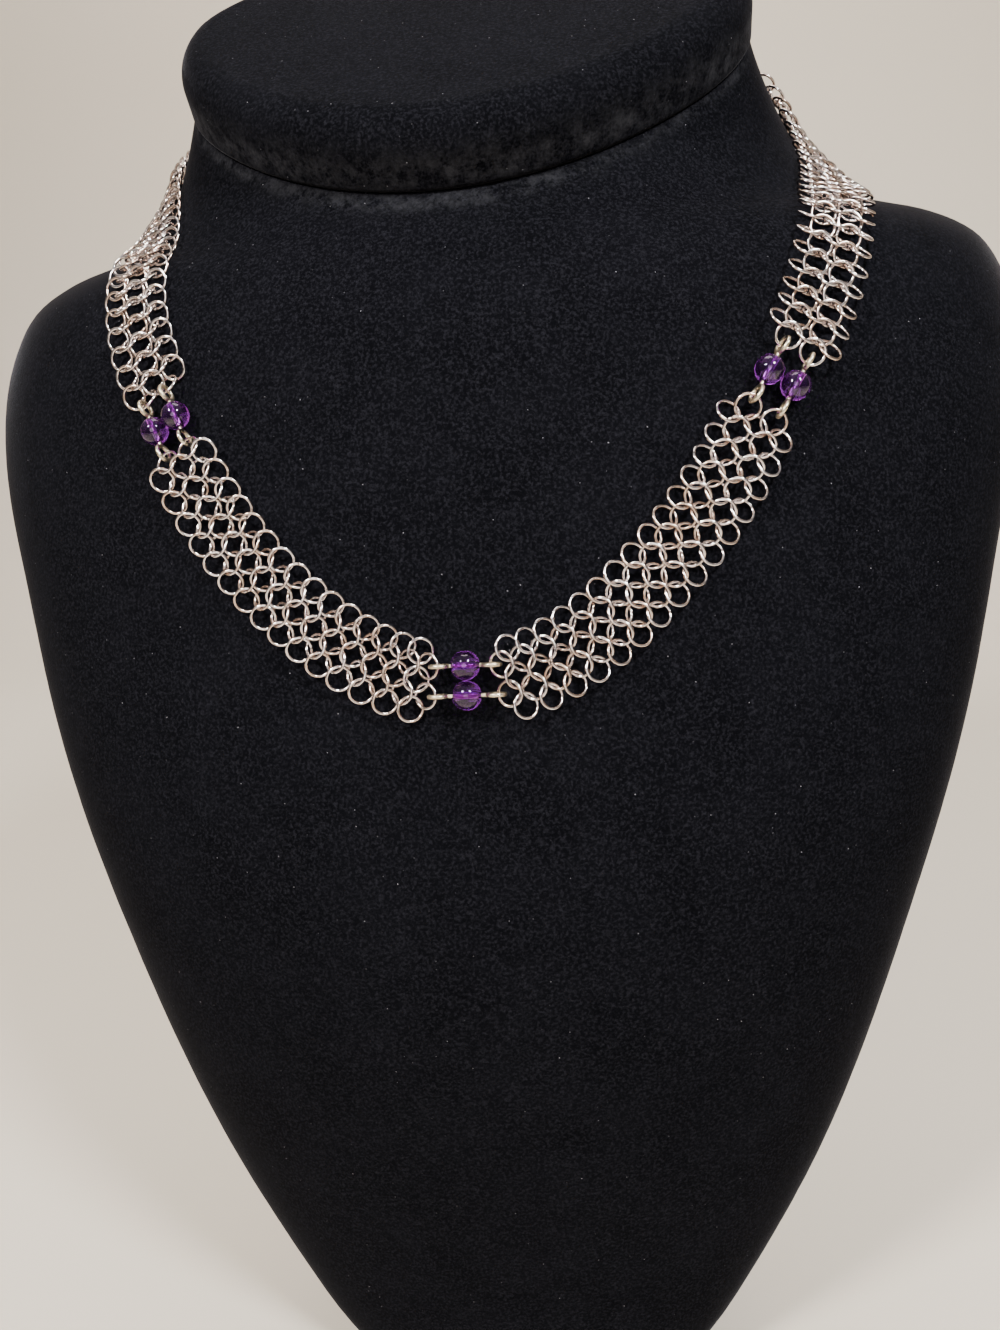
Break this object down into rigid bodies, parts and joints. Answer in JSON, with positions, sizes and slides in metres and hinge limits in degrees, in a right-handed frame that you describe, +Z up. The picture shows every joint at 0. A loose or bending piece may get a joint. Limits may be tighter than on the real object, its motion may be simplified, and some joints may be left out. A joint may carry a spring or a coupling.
{
  "type": "choker on neck bust",
  "caption": "Five-row steel ring mail choker with paired purple glass beads, closed round a black velvet neck bust that stands on its flat base.",
  "frame": {"origin": "on the flat base of the bust, where the widest line of its sections meets the surface that it stands on", "axes": "+Z up, the bust's front faces -Y, +X is to the right of someone who faces it"},
  "size_m": [0.2672, 0.1501, 0.3661],
  "materials": {
    "velvet": "black velvet over a hard form",
    "steel": "bright stainless steel wire",
    "bead_glass": "polished purple glass",
    "nickel_silver": "pale warm wire"
  },
  "bodies": {
    "root": {"neck_bust": "velvet", "neck_cap": "velvet", "mail_front_left": "steel", "mail_front_right": "steel", "mail_back_left": "steel", "mail_back_right": "steel", "bead_centre_upper": "bead_glass", "bead_centre_lower": "bead_glass", "bead_left_upper": "bead_glass", "bead_left_lower": "bead_glass", "bead_right_upper": "bead_glass", "bead_right_lower": "bead_glass", "eye_pin_centre_upper": "nickel_silver", "eye_pin_centre_lower": "nickel_silver", "eye_pin_left_upper": "nickel_silver", "eye_pin_left_lower": "nickel_silver", "eye_pin_right_upper": "nickel_silver", "eye_pin_right_lower": "nickel_silver", "clasp_plate": "steel", "clasp_ring_left_upper": "steel", "clasp_ring_left_lower": "steel", "clasp_ring_right_upper": "steel", "clasp_ring_right_lower": "steel"}
  },
  "joints": []
}
